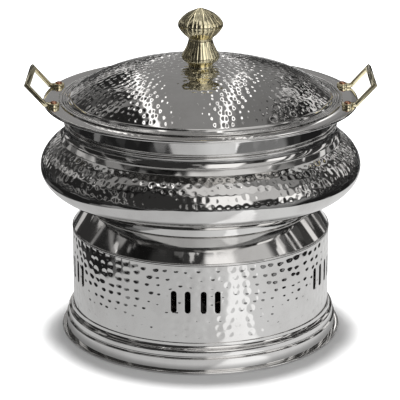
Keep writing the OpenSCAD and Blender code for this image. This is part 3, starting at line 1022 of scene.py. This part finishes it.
# What a mirror sees of the room. Bearings are 0 towards -Y, where the camera is, and positive towards
# +X. Each patch: from and to bearing, from and to height above the horizon (degrees), brightness,
# softness of its edges. TONES lie under the clutter, FEATURES and LAMPS over it.
TONES = [
    (-180, 180, -30, 100, 0.13, 1),
    (60, 150, 30, 60, 0.17, 5),
    (-60, 100, 45, 72, 0.40, 6),
    (140, 220, 0, 40, 0.16, 6),
]
FEATURES = [
    (-52, -8, -5, 45, 0.035, 4),
    (5, 37, 8, 49, 1.2, 3),
    (37, 74, 22, 52, 0.6, 4),
    (-116, -61, -2, 29.5, 0.28, 0.6),
    (-113, -64, 0, 27.5, 0.02, 0.6),
    (-89, -87, 0, 27.5, 0.2, 0.4),
    (44, 57, -10, 16, 0.03, 1.5),
    (57, 75, 4, 21, 1.3, 1.5),
    (92, 138, -5, 6, 0.03, 2),
]
LAMPS = [(bearing, bearing + width, 2, 34, 0.9, 0.6)
         for bearing, width in ((80, 4.5), (97, 1.5), (103, 2), (121, 6), (140, 2), (149, 3))]
# The ceiling. Each patch: from and to slope to the side (x / z), from and to angle from the upright
# towards +Y (degrees), brightness, softness of its side edges. CEILING lies under the clutter, STRIPS
# (pale panels and long lights) and DASHES (rows of short lights) over it.
CEILING = [
    (-3.0, -1.0, -20, 78, 0.14, 0.1),
    (-1.0, -0.42, -20, 77, 0.075, 0.03),
    (0.24, 0.9, -20, 80, 0.10, 0.02),
    (0.8, 0.98, 10, 78, 0.05, 0.02),
    (-4.0, -1.6, -35, -5, 0.35, 0.1),
    (-1.7, -1.2, -35, -5, 0.05, 0.04),
    (-1.3, -0.28, -48, -10, 0.03, 0.04),
    (-0.28, 0.28, -60, -10, 0.15, 0.02),
    (0.28, 0.62, -48, -10, 0.06, 0.02),
    (0.85, 1.8, -45, -5, 0.3, 0.03),
]
STRIPS = [
    (-1.6, 1.2, -8, 9, 0.28, 0.1),
    (0.22, 0.5, -8, 80, 0.21, 0.03),
    (-0.40, 0.24, -8, 86, 0.29, 0.02),
    (-0.15, 0.75, -32, -10, 0.8, 0.05),
    (0.99, 1.08, 35, 76, 0.8, 0.02),
    (-0.36, -0.30, -10, 71, 1.8, 0.012),
    (-0.36, -0.30, 78, 86, 1.8, 0.012),
    (0.14, 0.185, -10, 71, 2.0, 0.01),
    (0.14, 0.185, 78, 86, 2.0, 0.01),
]
DASHES = [(slope - 0.02, slope + 0.02, angle, angle + 6, 0.9, 0.01)
          for slope in (0.56, 0.72) for angle in range(20, 80, 12)]
# Degrees: softness of a ceiling patch's ends, and the most that a room patch's top and bottom have
CEILING_SOFT, ROOM_SOFT = 1.5, 2.0
BASE_TONE = 0.15


def patched(nodes, level, across, up, patches, wrap=None):
    """The level, with each patch painted over it in turn. The first coordinate may wrap around."""
    for a_low, a_high, b_low, b_high, brightness, soft in patches:
        off_a = nodes.math("SUBTRACT", across, (a_low + a_high) / 2)
        soft_b = CEILING_SOFT
        if wrap:
            off_a = nodes.math("WRAP", off_a, wrap, -wrap)
            soft_b = min(soft, ROOM_SOFT)
        off_b = nodes.math("SUBTRACT", up, (b_low + b_high) / 2)
        half_a, half_b = (a_high - a_low) / 2, (b_high - b_low) / 2
        inside = nodes.math(
            "MULTIPLY",
            nodes.ramp(nodes.math("ABSOLUTE", off_a), half_a - soft, half_a + soft, 1.0, 0.0),
            nodes.ramp(nodes.math("ABSOLUTE", off_b), half_b - soft_b, half_b + soft_b, 1.0, 0.0),
        )
        change = nodes.math("MULTIPLY", inside, nodes.math("SUBTRACT", brightness, level))
        level = nodes.math("ADD", level, change)
    return level


def room_level(nodes):
    """Brightness of the room in each direction."""
    direction = nodes.add("ShaderNodeTexCoord").outputs["Generated"]
    xyz = nodes.add("ShaderNodeSeparateXYZ", {"Vector": direction})
    x, y, z = (xyz.outputs[k] for k in range(3))
    bearing = nodes.math("DEGREES", nodes.math("ARCTAN2", x, nodes.math("MULTIPLY", y, -1.0)))
    height = nodes.math("DEGREES", nodes.math("ARCSINE", z))
    slope = nodes.math("DIVIDE", x, nodes.math("MAXIMUM", z, 0.02))
    behind = nodes.math("DEGREES", nodes.math("ARCTAN2", y, z))
    level = patched(nodes, BASE_TONE, bearing, height, TONES, wrap=180)
    level = patched(nodes, level, slope, behind, CEILING)
    across = nodes.math("DIVIDE", bearing, ROOM_BLOCK_W)
    up = nodes.math("DIVIDE", height, ROOM_BLOCK_H)
    level = nodes.math("MULTIPLY", level, clutter(nodes, across, up, 0.25, 7.5))
    level = patched(nodes, level, slope, behind, STRIPS + DASHES)
    return patched(nodes, level, bearing, height, FEATURES + LAMPS, wrap=180)


def make_world():
    """A room for mirror rays, plain white for the camera and even light for the floor."""
    world = bpy.data.worlds.new("studio")
    bpy.context.scene.world = world
    world.use_nodes = True
    nodes = Nodes(world.node_tree)
    ray = nodes.add("ShaderNodeLightPath").outputs
    room = nodes.add("ShaderNodeBackground", {"Color": (1.0, 0.985, 0.97, 1), "Strength": room_level(nodes)})
    white = nodes.add("ShaderNodeBackground", {"Color": (1, 1, 1, 1), "Strength": 1.0})
    even = nodes.add("ShaderNodeBackground", {"Color": (1, 1, 1, 1), "Strength": 0.52})
    level = room
    for kind, special in (("Is Camera Ray", white), ("Is Diffuse Ray", even)):
        level = nodes.add("ShaderNodeMixShader", {0: ray[kind], 1: level.outputs[0], 2: special.outputs[0]})
    nodes.add("ShaderNodeOutputWorld", {"Surface": level.outputs[0]})


def make_key_light():
    """Soft light from overhead, a little behind, for the floor. Mirror rays don't see it."""
    light = bpy.data.lights.new("key", "SUN")
    light.energy = 5.8
    light.angle = math.radians(14)
    lamp = new_object("key", light)
    lamp.location = (0.0, 0.25, 2.2)
    lamp.rotation_euler = (math.radians(-6.3), 0, 0)
    lamp.visible_glossy = False


CAMERA_DISTANCE = 2.340
CAMERA_HEIGHT = math.radians(18.32)             # above level, as seen from the target
CAMERA_AIM = 0.398                              # share of the kettle's height that it looks at
LENS = 181.0


def make_camera():
    """Looks a little down, at a point a little under the middle of the kettle's height."""
    target = Vector((0, 0, CAMERA_AIM * KNOB_TOP * MM))
    camera = bpy.data.cameras.new("camera")
    camera.lens = LENS
    camera.sensor_width = 36.0
    camera.shift_x = -0.0015
    view = new_object("camera", camera)
    view.location = target + CAMERA_DISTANCE * Vector((0, -math.cos(CAMERA_HEIGHT), math.sin(CAMERA_HEIGHT)))
    view.rotation_euler = (math.pi / 2 - CAMERA_HEIGHT, 0, 0)
    bpy.context.scene.camera = view


make_camera()
make_floor()
make_world()
make_key_light()
bpy.context.scene.view_settings.view_transform = "Standard"

make_stand_shell()
make_stand_shoulder()
make_stand_bead()
make_base_moulding()
make_base_rim()
make_shelf()
make_locator()
make_water_pan()
make_water_pan_rim()
make_water_pan_foot()
make_food_pan()
make_handle("handle_right_cast", "handle_right", 1)
make_handle("handle_left_cast", "handle_left", -1)
make_handle_screws()
make_handle_nuts()
make_handle_washers()
make_lid()
make_lid_skirt()
make_knob()
make_knob_fixing()
dress_plain_nodes()
